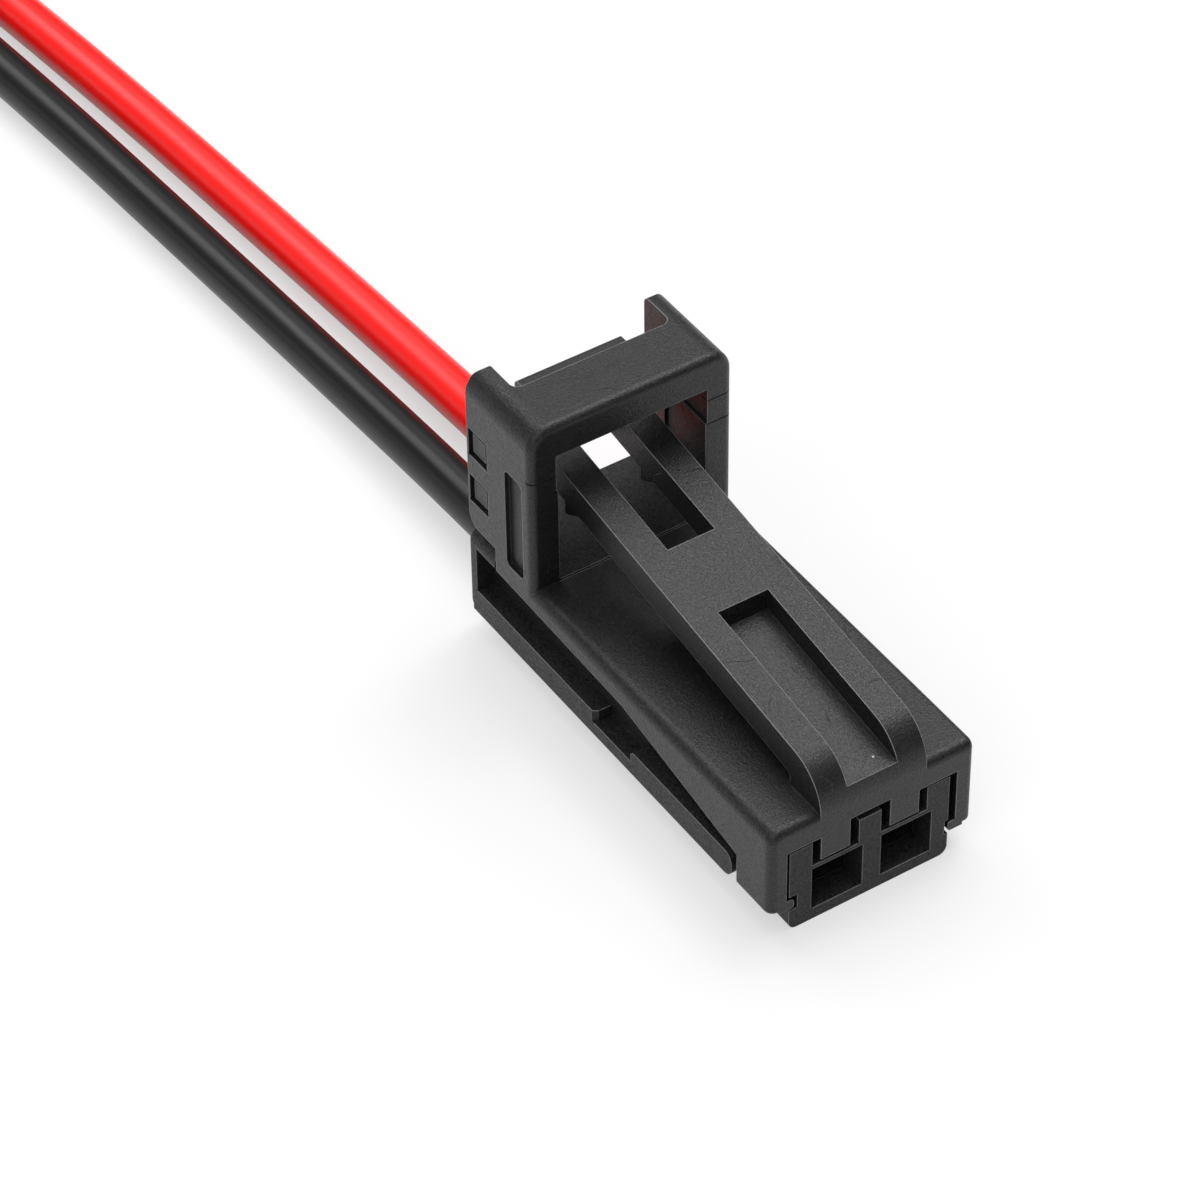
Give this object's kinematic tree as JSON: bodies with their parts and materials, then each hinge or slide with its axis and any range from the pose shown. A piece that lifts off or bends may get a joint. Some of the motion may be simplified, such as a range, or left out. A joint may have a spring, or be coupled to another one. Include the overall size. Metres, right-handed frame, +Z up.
{
  "type": "two-way prewired connector plug",
  "caption": "Rectangular wire-to-wire connector plug with an open-box latch lever under a guard arch, and a red and a black insulated lead leaving the rear.",
  "frame": {"origin": "middle of the outer shell's length and width, on the flat underside of the contact carrier that the plug rests on", "axes": "+X out of the mating face, +Y to the left of someone looking along +X with +Z up, +Z up through the latch arch"},
  "size_m": [0.1268, 0.0157, 0.0174],
  "materials": {
    "shell_plastic": "fine spark-eroded texture, black polyamide moulding",
    "carrier_plastic": "fine spark-eroded texture, black polyamide moulding",
    "contact_metal": "stamped and tin plated copper alloy strip",
    "spring_steel": "stamped stainless spring strip",
    "red_insulation": "smooth extruded vinyl",
    "black_insulation": "smooth extruded vinyl",
    "tinned_copper": "bunched tinned copper strands"
  },
  "bodies": {
    "root": {"outer_shell": "shell_plastic", "contact_carrier": "carrier_plastic", "crimp_contact_left": "contact_metal", "crimp_contact_right": "contact_metal", "contact_spring_left": "spring_steel", "contact_spring_right": "spring_steel", "red_wire_insulation": "red_insulation", "black_wire_insulation": "black_insulation", "red_wire_core": "tinned_copper", "black_wire_core": "tinned_copper"}
  },
  "joints": []
}
